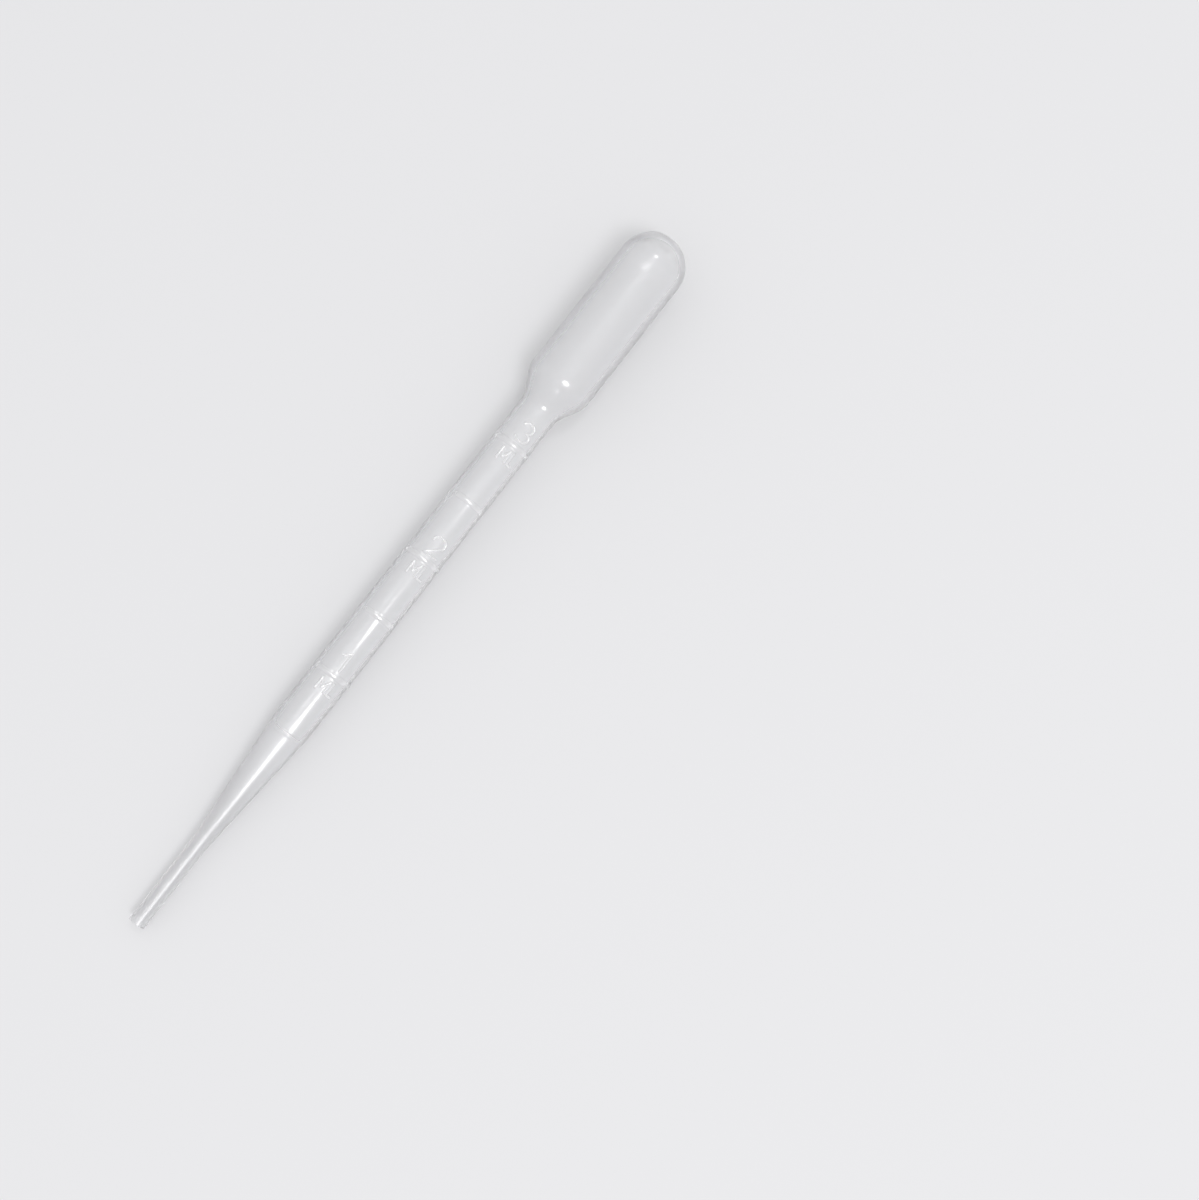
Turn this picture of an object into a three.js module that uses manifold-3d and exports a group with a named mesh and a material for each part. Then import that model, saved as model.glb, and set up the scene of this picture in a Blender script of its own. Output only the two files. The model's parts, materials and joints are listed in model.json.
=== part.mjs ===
// A disposable transfer pipette, blown in one piece from low-density polyethylene.
//
// A thin straight tip widens through a long cone into the barrel, which carries a raised
// scale in half millilitres. A short shoulder opens the barrel into the squeeze bulb, and the
// bulb closes in a dome. The whole is one thin wall around one bore, open only at the tip.
//
// Millimetres. The pipette is drawn along +X from the cut end of its tip at x = 0, with its
// scale facing up and a little to the side, and is laid on the plane z = 0 at the end.

import * as THREE from 'three';
import { mergeVertices } from 'three/addons/utils/BufferGeometryUtils.js';
import Module from 'manifold-3d';

// Lengths along the axis, between the sharp corners that the fillets then round off
const tipLength = 18.1;
const coneLength = 26.8;
const barrelLength = 74.1;
const shoulderLength = 5.3;
const bulbLength = 29.1;          // its straight part, up to the dome

// Outer diameters
const tipDiameter = 3.25;
const barrelDiameter = 7.7;
const bulbDiameter = 13.2;

// Wall thicknesses: the plastic gathers at the closed end, where the blown tube was pinched
const tipWall = 0.45;
const barrelWall = 0.4;
const bulbWall = 0.45;
const domeWall = 1.9;

// Radii of the outer surface's bends
const coneFillet = 75;
const neckFillet = 3;             // hollow bend where the barrel meets the shoulder
const shoulderFillet = 5;         // round bend where the shoulder meets the bulb

// The scale: a raised rib at every half millilitre, longer at the full ones
const markVolume = 500;           // cubic millimetres
const ribWidth = 1.4;
const ribHeight = 0.22;
const ribRoot = 0.03;             // how deep the feet of a rib's round section sink in the wall
const halfRibAngle = 58;          // degrees to each side of the scale's middle line
const fullRibAngle = 84;
const scaleMargin = 5;            // least room from the last rib to the shoulder

// The weld left where the mould pinched the tube shut, a low ridge over the dome
const weldHeight = 0.2;
const weldThickness = 0.6;
const weldAngle = 42;             // degrees to each side of the axis

// How it lies: the scale's middle line is this many degrees round the axis from the top
const scaleTurn = 22.5;

// Facets: sides of the round body, and how far a chord may lie from its arc
const sides = 24;
const chordTolerance = 0.01;
const ribFacets = 6;

const tipRadius = tipDiameter / 2;
const barrelRadius = barrelDiameter / 2;
const bulbRadius = bulbDiameter / 2;
const coneStart = tipLength;
const coneEnd = coneStart + coneLength;
const shoulderStart = coneEnd + barrelLength;
const shoulderEnd = shoulderStart + shoulderLength;
const domeStart = shoulderEnd + bulbLength;

// ---------------------------------------------------------------- outlines of the wall

// Points of an outline are Vector2(radius, station), as a LatheGeometry takes them.

function arcSteps(radius, turn) {
  const step = 2 * Math.acos(1 - chordTolerance / radius);
  return Math.ceil(Math.abs(turn) / step);
}

// Joins corners { radius, station, fillet } and rounds each one that has a fillet.
function filleted(corners) {
  const at = corners.map(c => new THREE.Vector2(c.radius, c.station));
  return corners.flatMap(({ fillet }, i) => {
    if (!fillet) return [at[i]];
    const back = at[i - 1].clone().sub(at[i]).normalize();
    const ahead = at[i + 1].clone().sub(at[i]).normalize();
    const turn = Math.PI - Math.acos(back.dot(ahead));
    const side = Math.sign(back.cross(ahead));
    const start = at[i].clone().addScaledVector(back, fillet * Math.tan(turn / 2));
    const centre = back.clone().add(ahead).setLength(fillet / Math.cos(turn / 2)).add(at[i]);
    const steps = arcSteps(fillet, turn);
    return Array.from({ length: steps + 1 }, (_, k) =>
      start.clone().rotateAround(centre, -side * turn * k / steps));
  });
}

// A quarter of an ellipse from the bulb's wall to the axis, without its first point.
function dome(radius, height) {
  const steps = arcSteps(bulbRadius, Math.PI / 2);
  return Array.from({ length: steps }, (_, k) => {
    const angle = Math.PI / 2 * (k + 1) / steps;
    const onAxis = k === steps - 1;
    return new THREE.Vector2(onAxis ? 0 : radius * Math.cos(angle), domeStart + height * Math.sin(angle));
  });
}

// Inside a bend of the outer surface the bore has a bend of its own, moved along the axis
// so that the wall keeps its thickness all the way round the bend.
const coneSlope = Math.atan2(barrelRadius - tipRadius, coneLength);
const shoulderSlope = Math.atan2(bulbRadius - barrelRadius, shoulderLength);
const behind = (station, wall, slope) => station + wall * Math.tan(slope / 2);

const outer = [
  ...filleted([
    { radius: tipRadius, station: 0 },
    { radius: tipRadius, station: coneStart, fillet: coneFillet },
    { radius: barrelRadius, station: coneEnd, fillet: coneFillet },
    { radius: barrelRadius, station: shoulderStart, fillet: neckFillet },
    { radius: bulbRadius, station: shoulderEnd, fillet: shoulderFillet },
    { radius: bulbRadius, station: domeStart },
  ]),
  ...dome(bulbRadius, bulbRadius),
];

const tipBore = tipRadius - tipWall;
const barrelBore = barrelRadius - barrelWall;
const bulbBore = bulbRadius - bulbWall;

const bore = [
  ...filleted([
    { radius: tipBore, station: 0 },
    { radius: tipBore, station: behind(coneStart, tipWall, coneSlope), fillet: coneFillet + tipWall },
    { radius: barrelBore, station: behind(coneEnd, barrelWall, coneSlope), fillet: coneFillet - barrelWall },
    { radius: barrelBore, station: behind(shoulderStart, barrelWall, shoulderSlope), fillet: neckFillet + barrelWall },
    { radius: bulbBore, station: behind(shoulderEnd, bulbWall, shoulderSlope), fillet: shoulderFillet - bulbWall },
    { radius: bulbBore, station: domeStart },
  ]),
  ...dome(bulbBore, bulbRadius - domeWall),
];

// ---------------------------------------------------------------- where the scale's marks lie

// The point of an outline at a station.
function pointAt(outline, station) {
  const i = outline.findIndex(p => p.y >= station);
  const [a, b] = [outline[i - 1], outline[i]];
  return a.clone().lerp(b, (station - a.y) / (b.y - a.y));
}

// The volume inside an outline turned about the axis, and its moment about the tip's end,
// as a stack of cone slices.
function contents(outline) {
  let volume = 0;
  let moment = 0;
  for (let i = 1; i < outline.length; i++) {
    const [a, b] = [outline[i - 1], outline[i]];
    const height = b.y - a.y;
    const slice = Math.PI / 3 * height * (a.x * a.x + a.x * b.x + b.x * b.x);
    volume += slice;
    moment += slice * a.y + Math.PI / 12 * height * height * (a.x * a.x + 2 * a.x * b.x + 3 * b.x * b.x);
  }
  return { volume, moment };
}

// What the bore holds from the tip's end up to a station.
function volumeUpTo(station) {
  return contents([...bore.filter(p => p.y < station), pointAt(bore, station)]).volume;
}

// The station of the liquid's surface when the pipette holds a volume, by halving.
function levelOf(volume) {
  let low = 0;
  let high = domeStart;
  while (high - low > chordTolerance / 10) {
    const middle = (low + high) / 2;
    if (volumeUpTo(middle) < volume) low = middle;
    else high = middle;
  }
  return (low + high) / 2;
}

// ---------------------------------------------------------------- solids

const wasm = await Module();
wasm.setup();

// A closed geometry as a solid that can be joined and cut.
function solid(geometry) {
  const bare = geometry.clone();
  bare.deleteAttribute('normal');
  bare.deleteAttribute('uv');
  const merged = mergeVertices(bare, 1e-5);
  const corners = merged.index.array;
  const triVerts = [];
  for (let i = 0; i < corners.length; i += 3) {
    const [a, b, c] = corners.slice(i, i + 3);
    if (a !== b && b !== c && c !== a) triVerts.push(a, b, c);
  }
  return new wasm.Manifold(new wasm.Mesh({
    numProp: 3,
    vertProperties: merged.attributes.position.array,
    triVerts: new Uint32Array(triVerts),
  }));
}

function geometryOf(manifold) {
  const { vertProperties, triVerts } = manifold.getMesh();
  const geometry = new THREE.BufferGeometry();
  geometry.setAttribute('position', new THREE.BufferAttribute(vertProperties, 3));
  geometry.setIndex(new THREE.BufferAttribute(triVerts, 1));
  geometry.computeVertexNormals();
  return geometry;
}

// An outline turned about the X axis, with one flat side facing down.
function turned(outline) {
  return new THREE.LatheGeometry(outline, sides, Math.PI / sides).rotateZ(-Math.PI / 2);
}

// The blown wall: down the bore to the tip, across the cut end, and back over the outside.
const wall = solid(turned([...bore.toReversed(), ...outer]));

// A rib is a crowned ring of which a wedge keeps only the stretch on the scale's side. Its
// section follows the wall's slope, so it stands equally high on the cone and on the barrel.
function rib(station, halfAngle) {
  const half = ribWidth / 2;
  const [from, to] = [pointAt(outer, station - half).x, pointAt(outer, station + half).x];
  const section = Array.from({ length: ribFacets + 1 }, (_, k) => {
    const share = k / ribFacets;
    const wallRadius = THREE.MathUtils.lerp(from, to, share);
    const rise = (ribHeight + ribRoot) * Math.sin(Math.PI * share) ** 2 - ribRoot;
    return new THREE.Vector2(wallRadius + rise, ribWidth * (share - 0.5));
  });
  const root = Math.min(from, to) - barrelWall / 2;
  const ring = turned([
    new THREE.Vector2(root, -half),
    ...section,
    new THREE.Vector2(root, half),
    new THREE.Vector2(root, -half),
  ]).translate(station, 0, 0);

  const reach = Math.max(from, to) + 2 * ribHeight;
  const spread = reach * Math.tan(THREE.MathUtils.degToRad(halfAngle));
  const wedge = new THREE.ExtrudeGeometry(
    new THREE.Shape([new THREE.Vector2(0, 0), new THREE.Vector2(spread, reach), new THREE.Vector2(-spread, reach)]),
    { depth: 2 * ribWidth, bevelEnabled: false },
  );
  wedge.translate(0, 0, -ribWidth);
  wedge.applyMatrix4(new THREE.Matrix4().makeBasis(
    new THREE.Vector3(0, 1, 0), new THREE.Vector3(0, 0, 1), new THREE.Vector3(1, 0, 0)));
  wedge.rotateX(THREE.MathUtils.degToRad(scaleTurn));
  wedge.translate(station, 0, 0);
  return solid(ring).intersect(solid(wedge));
}

// The weld is a crescent over the end of the dome, in the plane where the mould's halves
// part, which is square to the scale's middle line.
function weld() {
  const angle = THREE.MathUtils.degToRad(weldAngle);
  const crescent = new THREE.Shape();
  crescent.absarc(domeStart + weldHeight, 0, bulbRadius, -angle, angle, false);
  crescent.absarc(domeStart, 0, bulbRadius - domeWall / 2, angle, -angle, true);
  const geometry = new THREE.ExtrudeGeometry(crescent, {
    depth: weldThickness,
    bevelEnabled: false,
    curveSegments: arcSteps(bulbRadius, 2 * angle),
  });
  geometry.translate(0, 0, -weldThickness / 2);
  geometry.rotateX(THREE.MathUtils.degToRad(scaleTurn));
  return solid(geometry);
}

let body = wall.add(weld());
for (let mark = 1; levelOf(mark * markVolume) < shoulderStart - scaleMargin; mark++) {
  const isFull = mark % 2 === 0;
  body = body.add(rib(levelOf(mark * markVolume), isFull ? fullRibAngle : halfRibAngle));
}

// ---------------------------------------------------------------- the part, lying at rest

const polyethylene = new THREE.MeshStandardMaterial({
  color: 0xe6e8ea,
  roughness: 0.25,
  metalness: 0,
  transparent: true,
  opacity: 0.5,
});

const pipette = new THREE.Mesh(geometryOf(body), polyethylene);
pipette.name = 'pipette';

// Its balance point, as the whole turned solid less its bore.
const [whole, hollow] = [contents(outer), contents(bore)];
const balance = (whole.moment - hollow.moment) / (whole.volume - hollow.volume);

// It lies on two points of its outline, one to each side of the balance point: of all such
// pairs, the pair whose joining line runs furthest from the axis there. They are the end of
// the cone and the bend into the bulb, and the tip is a little off the surface.
const heightAtBalance = ([a, b]) => a.x + (b.x - a.x) * (balance - a.y) / (b.y - a.y);
const pairs = outer.filter(p => p.y < balance).flatMap(a =>
  outer.filter(p => p.y > balance).map(b => [a, b]));
const [front, back] = pairs.reduce((best, pair) =>
  (heightAtBalance(pair) > heightAtBalance(best) ? pair : best));
const flatShare = Math.cos(Math.PI / sides);      // a flat side lies nearer the axis than a corner
pipette.rotation.y = -Math.atan2((back.x - front.x) * flatShare, back.y - front.y);

// The origin lies on that surface, below the middle of the part.
const box = new THREE.Box3().setFromObject(pipette, true);
const middle = box.getCenter(new THREE.Vector3());
pipette.position.set(-middle.x, -middle.y, -box.min.z);

const part = new THREE.Group();
part.add(pipette);

export default part;
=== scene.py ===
# A disposable transfer pipette, blown in one piece from low-density polyethylene, lying on a
# pale table. It is clear and a little milky, glossy on the barrel and finely grained on the
# bulb, with a raised scale in millilitres. Metres, in the frame of the CAD part.

import json
from math import acos, atan2, ceil, cos, hypot, pi, radians, sin, tan

import bmesh
import bpy
from mathutils import Matrix, Vector


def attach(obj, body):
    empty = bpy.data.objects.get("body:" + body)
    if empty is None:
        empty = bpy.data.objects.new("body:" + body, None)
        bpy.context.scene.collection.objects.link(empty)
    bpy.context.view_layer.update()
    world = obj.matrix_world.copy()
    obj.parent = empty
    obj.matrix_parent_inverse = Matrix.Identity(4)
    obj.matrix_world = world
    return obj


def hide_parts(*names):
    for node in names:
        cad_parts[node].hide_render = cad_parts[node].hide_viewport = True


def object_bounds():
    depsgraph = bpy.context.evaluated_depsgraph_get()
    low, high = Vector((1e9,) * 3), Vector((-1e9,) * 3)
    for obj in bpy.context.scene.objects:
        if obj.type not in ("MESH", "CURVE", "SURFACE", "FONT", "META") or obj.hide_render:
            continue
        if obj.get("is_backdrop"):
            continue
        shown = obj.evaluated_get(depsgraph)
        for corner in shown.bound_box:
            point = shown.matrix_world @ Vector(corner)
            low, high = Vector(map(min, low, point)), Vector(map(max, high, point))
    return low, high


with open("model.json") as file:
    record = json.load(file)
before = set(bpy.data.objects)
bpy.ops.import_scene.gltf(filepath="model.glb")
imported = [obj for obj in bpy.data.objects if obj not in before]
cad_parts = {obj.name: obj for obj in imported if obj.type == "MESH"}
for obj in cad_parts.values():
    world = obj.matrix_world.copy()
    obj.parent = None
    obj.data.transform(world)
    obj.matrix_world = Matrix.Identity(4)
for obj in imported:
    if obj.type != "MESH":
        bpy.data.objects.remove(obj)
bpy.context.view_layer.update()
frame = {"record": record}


# ---------------------------------------------------------------- camera
# It looks down on the pipette from ten degrees off the vertical, from the side of the tip,
# with the tip at the lower left of the picture and the bulb above the middle.

mm = 0.001
aim = Vector((17.6, -30.2, 0)) * mm
camera_distance = 314.7 * mm
camera_tilt = radians(10)
picture_turn = radians(52.73)         # of the picture's right-hand side, from +X towards -Y

bpy.ops.object.camera_add(rotation=(camera_tilt, 0, -picture_turn))
camera = bpy.context.object
camera.location = aim + camera.rotation_euler.to_matrix() @ Vector((0, 0, camera_distance))
camera.data.lens = 50.47
camera.data.sensor_fit = "HORIZONTAL"
camera.data.clip_start = 10 * mm
bpy.context.scene.camera = camera
bpy.context.scene.view_settings.view_transform = "Standard"


# ---------------------------------------------------------------- table and light
# A matt, nearly white table top under two soft lamps, in a room that is darker towards the
# horizon than overhead. The large lamp hangs towards the tip, the small one towards the bulb.

class Value:
    """An output of a node. Sums written with it add the Math nodes that they stand for."""

    def __init__(self, tree, socket):
        self.tree, self.socket = tree, socket

    def maths(self, operation, *others, **settings):
        settings["operation"] = operation
        return self.tree.node("ShaderNodeMath", settings, dict(enumerate((self, *others))))

    def __add__(self, other):
        return self.maths("ADD", other)

    def __sub__(self, other):
        return self.maths("SUBTRACT", other)

    def __mul__(self, other):
        return self.maths("MULTIPLY", other)

    def __rsub__(self, other):
        return self * -1 + other

    __radd__, __rmul__ = __add__, __mul__

    def clamped(self):
        return self.maths("MULTIPLY", 1, use_clamp=True)

    def output(self, name):
        """Another output of the same node."""
        return Value(self.tree, self.socket.node.outputs[name])


class Tree:
    """The node tree of a material or of the world."""

    def __init__(self, owner):
        owner.use_nodes = True
        self.tree = owner.node_tree
        self.tree.nodes.clear()

    def node(self, kind, settings=None, inputs=None):
        """Adds a node, with its settings made first and its inputs set or linked after them."""
        node = self.tree.nodes.new(kind)
        for name, value in (settings or {}).items():
            setattr(node, name, value)
        for name, value in (inputs or {}).items():
            if isinstance(value, Value):
                self.tree.links.new(value.socket, node.inputs[name])
            else:
                node.inputs[name].default_value = value
        return Value(self, node.outputs[0]) if node.outputs else None


horizon_light = 0.5
zenith_light = 0.6
world = bpy.data.worlds.new("room")
bpy.context.scene.world = world
tree = Tree(world)
up = tree.node("ShaderNodeSeparateXYZ", None, {0: tree.node("ShaderNodeTexCoord")}).output("Z")
share = up.maths("MAXIMUM", 0)
strength = horizon_light + share * (zenith_light - horizon_light)
sky = tree.node("ShaderNodeBackground", None, {"Color": (1, 1, 1, 1), "Strength": strength})
tree.node("ShaderNodeOutputWorld", None, {"Surface": sky})


def deselect_all():
    bpy.ops.object.select_all(action="DESELECT")


table_size = 16
table_colour = (0.79, 0.79, 0.805, 1)
deselect_all()
bpy.ops.mesh.primitive_plane_add(size=table_size)
table = bpy.context.object
table.name = "table"
matt_white = bpy.data.materials.new("matt_white")
tree = Tree(matt_white)
paint = tree.node("ShaderNodeBsdfPrincipled", None, {
    "Base Color": table_colour, "Roughness": 0.7, "Specular IOR Level": 0.1})
tree.node("ShaderNodeOutputMaterial", None, {"Surface": paint})
table.data.materials.append(matt_white)
table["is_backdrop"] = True

lamp_distance = 3


def hang_lamp(name, direction, along, across, power):
    """An elliptical lamp over the table, with its widths along X and across X."""
    towards = Vector(direction).normalized()
    side = towards.cross(Vector((1, 0, 0))).normalized()
    turned = Matrix((side.cross(towards), side, towards)).transposed()
    bpy.ops.object.light_add(
        type="AREA", location=towards * lamp_distance, rotation=turned.to_euler())
    lamp = bpy.context.object
    lamp.name = name
    lamp.data.shape = "ELLIPSE"
    lamp.data.size = along
    lamp.data.size_y = across
    lamp.data.energy = power


hang_lamp("large_lamp", (-0.21, -0.45, 0.87), along=0.75, across=1.1, power=38)
hang_lamp("small_lamp", (0.39, -0.06, 0.92), along=0.26, across=0.6, power=10)


# ---------------------------------------------------------------- pipette
# One wall of low-density polyethylene, blown as a tube in a two-part mould and cut off at the
# tip: tip, cone, barrel, shoulder, bulb and dome around one bore. The scale is raised on the
# outside, where the mould is engraved, and so is the weld over the dome.

# Lengths along the axis, between the sharp corners that the fillets then round off
tip_length = 18.1 * mm
cone_length = 26.8 * mm
barrel_length = 74.1 * mm
shoulder_length = 5.3 * mm
bulb_length = 29.1 * mm

tip_radius = 1.625 * mm
barrel_radius = 3.85 * mm
bulb_radius = 6.6 * mm
tip_wall = 0.45 * mm
barrel_wall = 0.4 * mm
bulb_wall = 0.45 * mm
dome_wall = 1.9 * mm
cone_fillet = 75 * mm
neck_fillet = 3 * mm
shoulder_fillet = 5 * mm

cone_end = tip_length + cone_length
shoulder_start = cone_end + barrel_length
shoulder_end = shoulder_start + shoulder_length
dome_start = shoulder_end + bulb_length

sides = 96
chord_tolerance = 0.002 * mm


def arc_steps(radius, turn):
    return ceil(abs(turn) / (2 * acos(1 - chord_tolerance / radius)))


def filleted(corners):
    """The points of a line through corners (radius, station, fillet), rounded by the fillets."""
    places = [Vector(corner[:2]) for corner in corners]
    points = []
    for i, (at, corner) in enumerate(zip(places, corners)):
        fillet = corner[2]
        if not fillet:
            points.append(at)
            continue
        back = (places[i - 1] - at).normalized()
        ahead = (places[i + 1] - at).normalized()
        turn = pi - acos(back.dot(ahead))
        side = 1 if back.cross(ahead) > 0 else -1
        start = at + back * fillet * tan(turn / 2)
        centre = at + (back + ahead).normalized() * fillet / cos(turn / 2)
        steps = arc_steps(fillet, turn)
        for k in range(steps + 1):
            points.append(centre + Matrix.Rotation(-side * turn * k / steps, 2) @ (start - centre))
    return points


def dome(radius, height):
    """A quarter of an ellipse from the bulb's wall to the axis, without its first point."""
    steps = arc_steps(bulb_radius, pi / 2)
    angles = [pi / 2 * (k + 1) / steps for k in range(steps)]
    return [Vector((radius * cos(a), dome_start + height * sin(a))) for a in angles]


cone_slope = atan2(barrel_radius - tip_radius, cone_length)
shoulder_slope = atan2(bulb_radius - barrel_radius, shoulder_length)


def behind(station, wall, slope):
    """Where the bore bends, so that the wall keeps its thickness round a bend outside it."""
    return station + wall * tan(slope / 2)


outer = filleted([
    (tip_radius, 0, 0),
    (tip_radius, tip_length, cone_fillet),
    (barrel_radius, cone_end, cone_fillet),
    (barrel_radius, shoulder_start, neck_fillet),
    (bulb_radius, shoulder_end, shoulder_fillet),
    (bulb_radius, dome_start, 0),
]) + dome(bulb_radius, bulb_radius)
tip_bore = tip_radius - tip_wall
barrel_bore = barrel_radius - barrel_wall
bulb_bore = bulb_radius - bulb_wall
bore = filleted([
    (tip_bore, 0, 0),
    (tip_bore, behind(tip_length, tip_wall, cone_slope), cone_fillet + tip_wall),
    (barrel_bore, behind(cone_end, barrel_wall, cone_slope), cone_fillet - barrel_wall),
    (barrel_bore, behind(shoulder_start, barrel_wall, shoulder_slope), neck_fillet + barrel_wall),
    (bulb_bore, behind(shoulder_end, bulb_wall, shoulder_slope), shoulder_fillet - bulb_wall),
    (bulb_bore, dome_start, 0),
]) + dome(bulb_bore, bulb_radius - dome_wall)

# The scale: a rib at each half millilitre, and a figure with its unit at each full one
first_rib = 43.06 * mm
rib_pitch = 13.37 * mm
rib_count = 6
rib_width = 1.4 * mm
rib_height = 0.22 * mm
half_rib_angle = radians(58)
full_rib_angle = radians(84)
ribs = [first_rib + rib_pitch * k for k in range(rib_count)]
full_ribs = ribs[1::2]

figure_height = 3.9 * mm
figure_width = 2.7 * mm
figure_rise = 1.2 * mm                # from the rib's middle up to a figure's foot
unit_height = 2.4 * mm
unit_drop = 1.2 * mm                  # from the rib's middle down to the unit's head
letter_widths = {"M": 1.75 * mm, "L": 1.15 * mm}
letter_gap = 0.5 * mm
stroke_width = 0.5 * mm
stroke_height = 0.22 * mm
point_step = 0.25 * mm                # between the points of a drawn mark


def arc(middle, reach, start, end):
    """Points of an elliptic arc, with its angles in degrees."""
    steps = 12
    angles = [radians(start + (end - start) * k / steps) for k in range(steps + 1)]
    return [(middle[0] + reach[0] * cos(a), middle[1] + reach[1] * sin(a)) for a in angles]


# Each sign as one stroke in a box one wide and one high, as a round cutter engraves it
signs = {
    "1": [(0.1, 0.76), (0.5, 1), (0.5, 0)],
    "2": [*arc((0.5, 0.7), (0.5, 0.3), 175, -25), (0, 0), (1, 0)],
    "3": [*arc((0.45, 0.75), (0.45, 0.25), 155, -80), *arc((0.45, 0.26), (0.52, 0.26), 80, -150)],
    "M": [(0, 0), (0, 1), (0.5, 0.3), (1, 1), (1, 0)],
    "L": [(0.1, 1), (0.1, 0), (0.95, 0)],
}


def evenly(points):
    """The points with more between them, so that the line can follow the barrel's round."""
    finer = [points[0]]
    for here, there in zip(points, points[1:]):
        steps = ceil((there - here).length / point_step)
        finer += [here.lerp(there, (k + 1) / steps) for k in range(steps)]
    return finer


def outer_radius(station):
    i = next(k for k, point in enumerate(outer) if point.y > station)
    below, above = outer[i - 1], outer[i]
    return below.lerp(above, (station - below.y) / (above.y - below.y)).x


def on_wall(angle, station):
    """A point of the outer surface. The scale's middle line is at angle 0."""
    radius = outer_radius(station)
    return Vector((radius * cos(angle), radius * sin(angle), station))


def start_line(name, point):
    """Adds an object of one vertex and leaves it in edit mode with that vertex selected."""
    deselect_all()
    bpy.ops.mesh.primitive_plane_add(size=mm)
    thing = bpy.context.object
    thing.name = thing.data.name = name
    bpy.ops.object.mode_set(mode="EDIT")
    bpy.ops.mesh.merge(type="CENTER")
    bpy.ops.transform.translate(value=point)
    return thing


def extrude_along(points):
    """Extrudes the selected vertex from the first of the points to each of the others."""
    for here, there in zip(points, points[1:]):
        bpy.ops.mesh.extrude_region_move(TRANSFORM_OT_translate={"value": there - here})


def drawn(name, points):
    line = start_line(name, points[0])
    extrude_along(points)
    bpy.ops.object.mode_set(mode="OBJECT")
    return line


def drawn_sign(sign, left, foot, width, height):
    """A sign drawn on the barrel, upright when the tip points down."""
    flat = evenly([Vector((left + width * x, foot + height * y)) for x, y in signs[sign]])
    return drawn("sign_" + sign, [on_wall(point.x / barrel_radius, point.y) for point in flat])


def joined(things):
    deselect_all()
    for thing in things:
        thing.select_set(True)
    bpy.context.view_layer.objects.active = things[0]
    bpy.ops.object.join()
    return things[0]


def drawn_rib(station, half_angle):
    steps = ceil(half_angle * barrel_radius / point_step)
    angles = [half_angle * k / steps for k in range(-steps, steps + 1)]
    return drawn("rib", [on_wall(angle, station) for angle in angles])


rib_ends = rib_width / 2 / barrel_radius          # the round end of a rib, as an angle
rib_lines = joined([
    drawn_rib(station, (half_rib_angle, full_rib_angle)[i % 2] - rib_ends)
    for i, station in enumerate(ribs)
])
unit_width = sum(letter_widths.values()) + letter_gap
letter_starts = {"M": -unit_width / 2, "L": unit_width / 2 - letter_widths["L"]}
sign_lines = []
for i, station in enumerate(full_ribs):
    figure_foot = station + figure_rise
    unit_foot = station - unit_drop - unit_height
    sign_lines.append(
        drawn_sign(str(i + 1), -figure_width / 2, figure_foot, figure_width, figure_height))
    for letter, start in letter_starts.items():
        sign_lines.append(
            drawn_sign(letter, start, unit_foot, letter_widths[letter], unit_height))
sign_lines = joined(sign_lines)

# The weld where the mould pinched the tube shut, over the dome, in the mould's parting plane
weld_width = 0.8 * mm
weld_height = 0.2 * mm
weld_angle = radians(42)
weld_ends = weld_width / 2 / bulb_radius
weld_steps = 30
weld_angles = [
    (weld_angle - weld_ends) * k / weld_steps for k in range(-weld_steps, weld_steps + 1)]
weld_line = drawn("weld", [
    Vector((0, bulb_radius * sin(a), dome_start + bulb_radius * cos(a))) for a in weld_angles])


# The wall gets closely spaced rings wherever a mark stands out of it.

def with_rings(outline, low, high, step):
    """The outline with points from the station low to the station high, a step or less apart."""
    steps = ceil((high - low) / step)
    stations = [low + (high - low) * k / steps for k in range(steps + 1)]
    points = [point for point in outline if not low < point.y < high]
    below = next(k for k, point in enumerate(points) if point.y >= high)
    rings = [Vector((outer_radius(station), station)) for station in stations]
    return points[:below] + rings + points[below:]


rib_step = 0.12 * mm
window_step = 2 * pi * barrel_radius / sides
window_cuts = 4
margin = stroke_width / 2 + 0.1 * mm
windows = []                          # the stations between which a figure or a unit stands
for station in full_ribs:
    windows.append((station - unit_drop - unit_height - margin, station - unit_drop + margin))
    windows.append((station + figure_rise - margin, station + figure_rise + figure_height + margin))
window_angle = (unit_width / 2 + margin) / barrel_radius
for low, high in windows:
    outer = with_rings(outer, low, high, window_step)
for station in ribs:
    outer = with_rings(outer, station - rib_width / 2, station + rib_width / 2, rib_step)


def upright(outline):
    """The points of an outline in the plane that is turned about the Z axis."""
    return [Vector((point.x, 0, point.y)) for point in outline]


def pick(test, kind="verts"):
    """Selects the verts, edges or faces that a test says yes to, in edit mode, and no others."""
    bpy.context.tool_settings.mesh_select_mode = [kind == k for k in ("verts", "edges", "faces")]
    bpy.ops.mesh.select_all(action="DESELECT")
    mesh = bmesh.from_edit_mesh(bpy.context.edit_object.data)
    for element in getattr(mesh, kind):
        if test(element):
            element.select_set(True)
    mesh.select_flush_mode()
    bmesh.update_edit_mesh(bpy.context.edit_object.data)


def apply(thing, kind, **settings):
    """Gives an object a modifier and applies it."""
    modifier = thing.modifiers.new(kind, kind)
    for name, value in settings.items():
        setattr(modifier, name, value)
    deselect_all()
    bpy.context.view_layer.objects.active = thing
    bpy.ops.object.modifier_apply(modifier=modifier.name)


def put_in_group(thing, name):
    """Puts the selected vertices in a new vertex group."""
    thing.vertex_groups.new(name=name)
    bpy.ops.object.vertex_group_assign()


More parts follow.
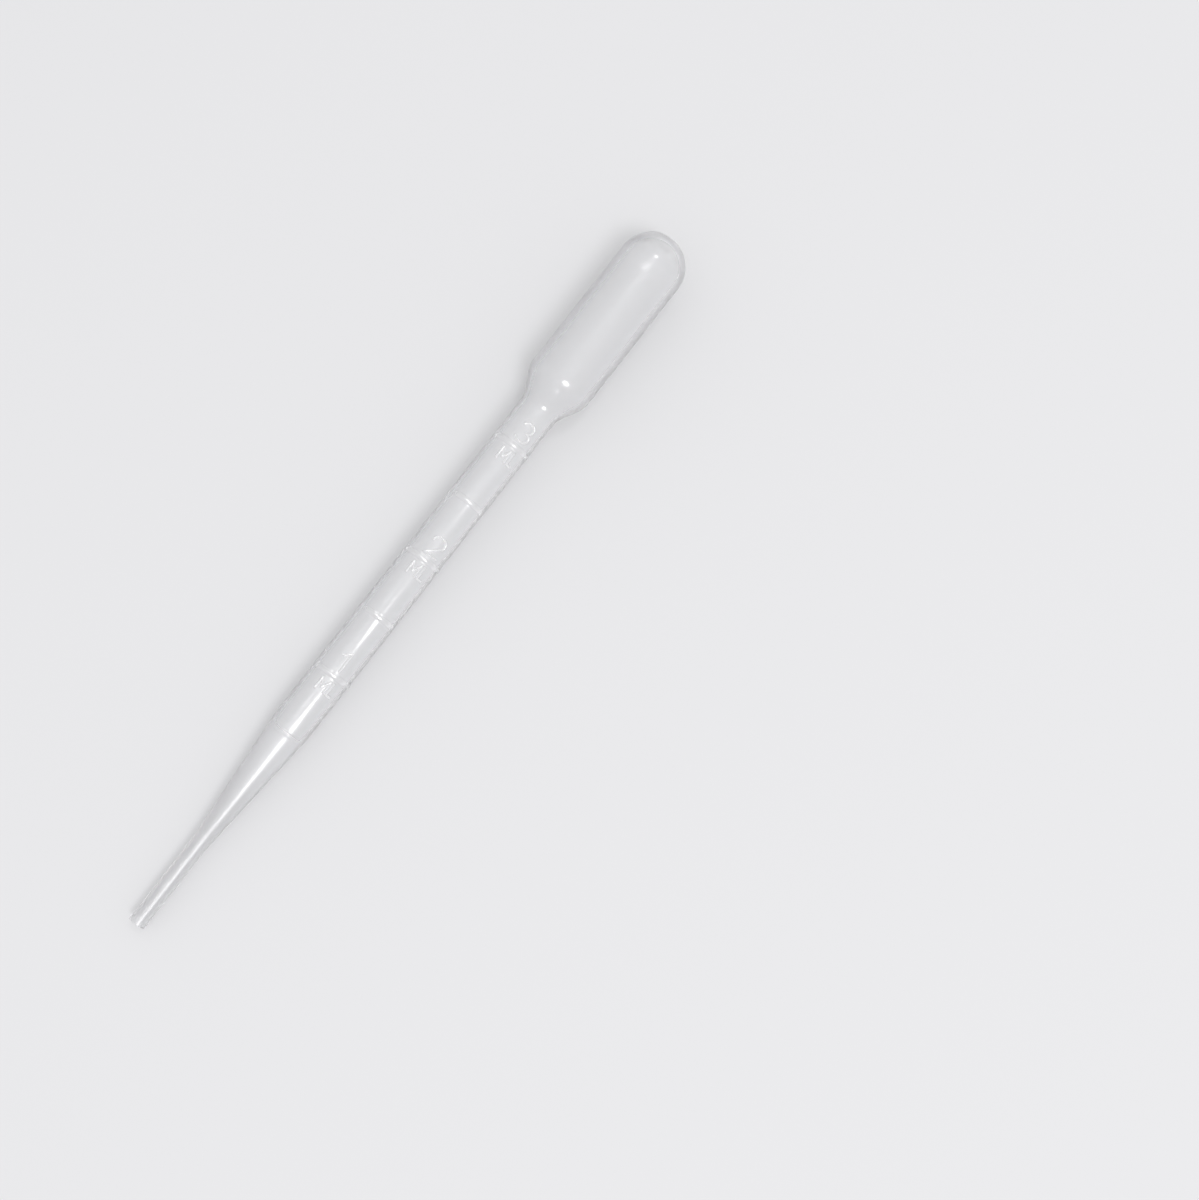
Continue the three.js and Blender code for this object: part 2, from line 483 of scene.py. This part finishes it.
# The wall is drawn as one line, down the bore from its top, across the cut end and up the
# outside, and turned about the axis. Only its outside can be raised into marks.
down_the_bore = upright(reversed(bore))
up_the_outside = upright(outer)
pipette = start_line("blown_pipette", down_the_bore[0])
extrude_along(down_the_bore + up_the_outside)
pick(lambda vert: vert.index >= len(bore))
for group in ("ribs", "signs", "weld"):
    put_in_group(pipette, group)
bpy.ops.mesh.select_all(action="SELECT")
bpy.ops.mesh.spin(steps=sides, angle=2 * pi, center=(0, 0, 0), axis=(0, 0, 1))
bpy.ops.mesh.select_all(action="SELECT")
bpy.ops.mesh.remove_doubles(threshold=chord_tolerance / 4)
bpy.ops.mesh.normals_make_consistent(inside=False)


def in_window(face, low, high):
    """Whether a face is of the outside, between two stations and near the scale's middle line."""
    middle = face.calc_center_median()
    angle = atan2(middle.y, middle.x)
    return low < middle.z < high and abs(angle) < window_angle and face.normal.x > 0


# Finer faces under the figures, brought back to the barrel's round
pipette.vertex_groups.new(name="window")
for low, high in windows:
    pick(lambda face: in_window(face, low, high), "faces")
    bpy.ops.mesh.subdivide(number_cuts=window_cuts)
    bpy.ops.object.vertex_group_assign()
bpy.ops.object.mode_set(mode="OBJECT")
apply(pipette, "CAST", cast_type="CYLINDER", factor=1, size=barrel_radius, use_radius_as_size=False,
      use_z=False, vertex_group="window")


def raise_marks(lines, group, width, height):
    """Raises the wall beside the lines into a round ridge, as a groove in the mould leaves it."""
    apply(pipette, "VERTEX_WEIGHT_PROXIMITY", vertex_group=group, target=lines,
          proximity_mode="GEOMETRY", proximity_geometry={"EDGE"}, falloff_type="SMOOTH",
          min_dist=width / 2, max_dist=0)
    apply(pipette, "DISPLACE", vertex_group=group, direction="NORMAL", mid_level=0, strength=height)
    bpy.data.objects.remove(lines)


raise_marks(rib_lines, "ribs", rib_width, rib_height)
raise_marks(sign_lines, "signs", stroke_width, stroke_height)
raise_marks(weld_line, "weld", weld_width, weld_height)


# Clear plastic with a little milkiness, which grows from the tip to the barrel and fades where
# the wall is seen along itself, so that the bore's own edge shows there. The light that falls on
# the table goes straight through, and each of the wall's faces holds back a share of it.
mount = frame["record"]["mounts"][0]
tip_centre = Vector(mount["pos_m"]) * Vector((1, 0, 1))

light_through = 0.82
clear_stations = (16 * mm, 42 * mm)
tip_milk = 0.06
barrel_milk = 0.31
thick_stations = (153 * mm, 159 * mm)
thick_milk = 0.25                     # added at the dome's end, where the wall is thick
milk_views = (0.45, 0.65)             # 0 is seen face on, and 1 along the wall
milk_lost = 0.9                       # the share that fades where it is seen along the wall

tip_roughness = 0.36
wall_roughness = 0.28
smooth_stations = (42 * mm, 51 * mm)
smooth_views = (0.3, 0.45)
smoothing = 0.13                      # less roughness, on the barrel and bulb seen face on

relief = 0.01 * mm                    # the unit of the three heights
grain_stations = (120 * mm, 132 * mm, 140 * mm, 156 * mm)
grain_size, grain_height = 0.22 * mm, 1.2
wave_size, wave_height = 2.4 * mm, 1.2
draw_size, draw_height = 0.5 * mm, 0.2
draw_stretch = 30


def plastic(name, milkiness, gloss):
    """A material of the wall, so many times as milky, with a share of a mirror's gloss."""
    material = bpy.data.materials.new(name)
    tree = Tree(material)
    place = tree.node("ShaderNodeTexCoord").output("Object")
    along = tree.node("ShaderNodeSeparateXYZ", None, {0: place}).output("X") - tip_centre.x
    facing = tree.node("ShaderNodeLayerWeight", None, {"Blend": 0.5}).output("Facing")

    def ramp(low, high, value=along):
        return tree.node("ShaderNodeMapRange", {"interpolation_type": "SMOOTHSTEP"},
                         {"Value": value, "From Min": low, "From Max": high})

    def noise(size, detail, stretch=1):
        spread = tree.node("ShaderNodeMapping", None, {
            "Vector": place, "Scale": (1 / size / stretch, 1 / size, 1 / size)})
        return tree.node("ShaderNodeTexNoise", None, {
            "Vector": spread, "Scale": 1, "Detail": detail})

    past_tip = ramp(*clear_stations)
    haze = (tip_milk + past_tip * (barrel_milk - tip_milk)) * milkiness
    haze = haze * (1 - ramp(*milk_views, facing) * milk_lost)
    haze = (haze + ramp(*thick_stations) * thick_milk).clamped()
    roughness = tip_roughness + past_tip * (wall_roughness - tip_roughness)
    faced = ramp(*smooth_stations) * (1 - ramp(*smooth_views, facing))
    roughness = roughness - faced * smoothing
    grained = ramp(*grain_stations[:2]) * (1 - ramp(*grain_stations[2:]))
    height = noise(grain_size, detail=2) * grained * grain_height
    height = height + noise(wave_size, detail=1) * wave_height
    height = height + noise(draw_size, detail=2, stretch=draw_stretch) * draw_height
    normal = tree.node("ShaderNodeBump", None, {
        "Height": height, "Strength": 1, "Distance": relief})

    clear = tree.node("ShaderNodeBsdfPrincipled", None, {
        "Base Color": (0.985, 0.985, 0.99, 1), "Roughness": roughness, "IOR": 1.51,
        "Transmission Weight": 1, "Normal": normal})
    milk = tree.node("ShaderNodeBsdfPrincipled", None, {
        "Base Color": (0.9, 0.9, 0.92, 1), "Roughness": 0.3, "Normal": normal})
    hazy = tree.node("ShaderNodeMixShader", None, {0: haze, 1: clear, 2: milk})
    shine = tree.node("ShaderNodeBsdfPrincipled", None, {
        "Base Color": (1, 1, 1, 1), "Metallic": 1, "Roughness": 0.12, "Normal": normal})
    glossy = tree.node("ShaderNodeMixShader", None, {0: gloss, 1: hazy, 2: shine})
    passing = tree.node("ShaderNodeBsdfTransparent", None, {"Color": (light_through,) * 3 + (1,)})
    path = tree.node("ShaderNodeLightPath")
    seen = tree.node("ShaderNodeMixShader", None,
                     {0: path.output("Is Diffuse Ray"), 1: glossy, 2: passing})
    skin = tree.node("ShaderNodeMixShader", None,
                     {0: path.output("Is Shadow Ray"), 1: seen, 2: passing})
    tree.node("ShaderNodeOutputMaterial", None, {"Surface": skin})
    return material


pipette.data.materials.append(plastic("clear_polyethylene", milkiness=1, gloss=0))
pipette.data.materials.append(plastic("rib_polyethylene", milkiness=1.6, gloss=0.25))
pipette.data.materials.append(plastic("figure_polyethylene", milkiness=3, gloss=0.25))
least_height = 0.04 * mm              # from where on a ridge counts as standing out


def stands_out(face):
    middle = face.calc_center_median()
    return (cone_end < middle.z < ribs[-1] + rib_pitch / 2
            and hypot(middle.x, middle.y) > barrel_radius + least_height)


def of_a_figure(face):
    height = face.calc_center_median().z
    return stands_out(face) and any(low < height < high for low, high in windows)


deselect_all()
pipette.select_set(True)
bpy.context.view_layer.objects.active = pipette
bpy.ops.object.mode_set(mode="EDIT")
for slot, test in ((1, stands_out), (2, of_a_figure)):
    pick(test, "faces")
    pipette.active_material_index = slot
    bpy.ops.object.material_slot_assign()
bpy.ops.object.mode_set(mode="OBJECT")

# It is laid down with its scale up and a little to the side, as the CAD part lies.
scale_turn = radians(22.5)
smooth_angle = radians(35)            # sharper edges than this stay sharp
axis = -Vector(mount["axis"]).normalized()
sideways = Vector((0, -1, 0))
lying = Matrix((sideways.cross(axis), sideways, axis)).transposed().to_4x4()
pipette.matrix_world = Matrix.Translation(tip_centre) @ lying @ Matrix.Rotation(scale_turn, 4, "Z")
deselect_all()
pipette.select_set(True)
bpy.ops.object.transform_apply()
lowest = min(vert.co.z for vert in pipette.data.vertices)
pipette.location.z = -lowest
bpy.ops.object.transform_apply()
bpy.ops.object.shade_smooth_by_angle(angle=smooth_angle)

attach(pipette, "root")
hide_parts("pipette")


low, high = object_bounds()
